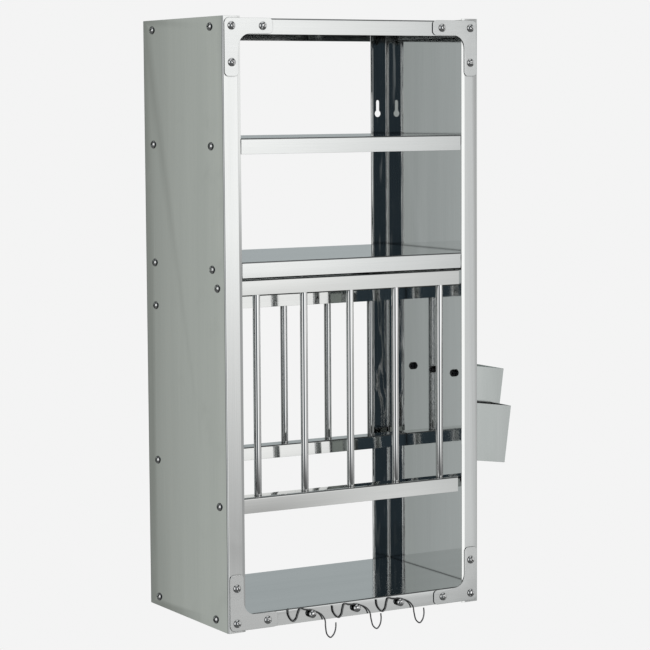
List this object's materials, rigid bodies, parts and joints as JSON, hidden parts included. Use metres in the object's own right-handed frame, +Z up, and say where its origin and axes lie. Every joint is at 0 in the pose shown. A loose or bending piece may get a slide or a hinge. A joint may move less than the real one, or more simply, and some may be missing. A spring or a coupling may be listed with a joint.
{
  "type": "wall plate rack",
  "caption": "Wall-hung stainless plate rack: open shelves over a rod rack for plates, a bottom shelf with swinging cup hooks, and a cutlery box on one side.",
  "frame": {"origin": "middle of the bottom shelf's rear flange, on the wall plane", "axes": "+Z up, +Y into the wall, so the open front looks along -Y; +X to the right seen from the front, the side of the cutlery box"},
  "size_m": [0.4471, 0.2353, 0.8014],
  "materials": {
    "side_panel_steel": "satin brushed stainless outside, polished inside",
    "shelf_steel": "polished stainless with a fine long grain",
    "rail_steel": "mirror polished stainless",
    "rod_steel": "mirror polished stainless bar",
    "gusset_steel": "polished stainless, rounded corners",
    "hook_wire": "bright drawn wire",
    "cutlery_box_steel": "satin brushed stainless",
    "fastener_steel": "zinc-bright slotted screws"
  },
  "bodies": {
    "cabinet": {"bottom_shelf": "shelf_steel", "cutlery_box": "cutlery_box_steel", "cutlery_box_bolt_1": "fastener_steel", "cutlery_box_bolt_2": "fastener_steel", "cutlery_box_bolt_3": "fastener_steel", "front_rod_1": "rod_steel", "front_rod_2": "rod_steel", "front_rod_3": "rod_steel", "front_rod_4": "rod_steel", "front_rod_5": "rod_steel", "knife_pocket": "cutlery_box_steel", "left_bottom_shelf_front_screw": "fastener_steel", "left_bottom_shelf_rear_screw": "fastener_steel", "left_cup_hook_screw": "fastener_steel", "left_middle_shelf_front_screw": "fastener_steel", "left_middle_shelf_rear_screw": "fastener_steel", "left_rack_lower_front_rail_screw": "fastener_steel", "left_rack_lower_rear_rail_screw": "fastener_steel", "left_rack_upper_front_rail_screw": "fastener_steel", "left_rack_upper_rear_rail_screw": "fastener_steel", "left_side_panel": "side_panel_steel", "left_top_panel_front_screw": "fastener_steel", "left_top_panel_rear_screw": "fastener_steel", "left_upper_shelf_front_screw": "fastener_steel", "left_upper_shelf_rear_screw": "fastener_steel", "lower_left_gusset": "gusset_steel", "lower_left_gusset_corner_screw": "fastener_steel", "lower_left_gusset_post_screw": "fastener_steel", "lower_left_gusset_rail_screw": "fastener_steel", "lower_right_gusset": "gusset_steel", "lower_right_gusset_corner_screw": "fastener_steel", "lower_right_gusset_post_screw": "fastener_steel", "lower_right_gusset_rail_screw": "fastener_steel", "middle_cup_hook_screw": "fastener_steel", "middle_shelf": "shelf_steel", "rack_lower_front_rail": "rail_steel", "rack_lower_rear_rail": "rail_steel", "rack_upper_front_rail": "rail_steel", "rack_upper_rear_rail": "rail_steel", "rear_rod_1": "rod_steel", "rear_rod_2": "rod_steel", "rear_rod_3": "rod_steel", "rear_rod_4": "rod_steel", "rear_rod_5": "rod_steel", "right_cup_hook_screw": "fastener_steel", "right_side_panel": "side_panel_steel", "top_panel": "shelf_steel", "upper_left_gusset": "gusset_steel", "upper_left_gusset_corner_screw": "fastener_steel", "upper_left_gusset_post_screw": "fastener_steel", "upper_left_gusset_rail_screw": "fastener_steel", "upper_right_gusset": "gusset_steel", "upper_right_gusset_corner_screw": "fastener_steel", "upper_right_gusset_post_screw": "fastener_steel", "upper_right_gusset_rail_screw": "fastener_steel", "upper_shelf": "shelf_steel"},
    "left_hook": {"left_cup_hook": "hook_wire"},
    "middle_hook": {"middle_cup_hook": "hook_wire"},
    "right_hook": {"right_cup_hook": "hook_wire"}
  },
  "joints": [
    {"name": "left_hook_swing", "type": "hinge", "parent": "cabinet", "child": "left_hook", "pos_m": [-0.0695, -0.2295, 0.0002], "axis": [0, 1, 0], "range_deg": [-35, 35]},
    {"name": "middle_hook_swing", "type": "hinge", "parent": "cabinet", "child": "middle_hook", "pos_m": [-0.0025, -0.2295, 0.0002], "axis": [0, 1, 0], "range_deg": [-35, 35]},
    {"name": "right_hook_swing", "type": "hinge", "parent": "cabinet", "child": "right_hook", "pos_m": [0.0645, -0.2295, 0.0002], "axis": [0, 1, 0], "range_deg": [-35, 35]}
  ]
}
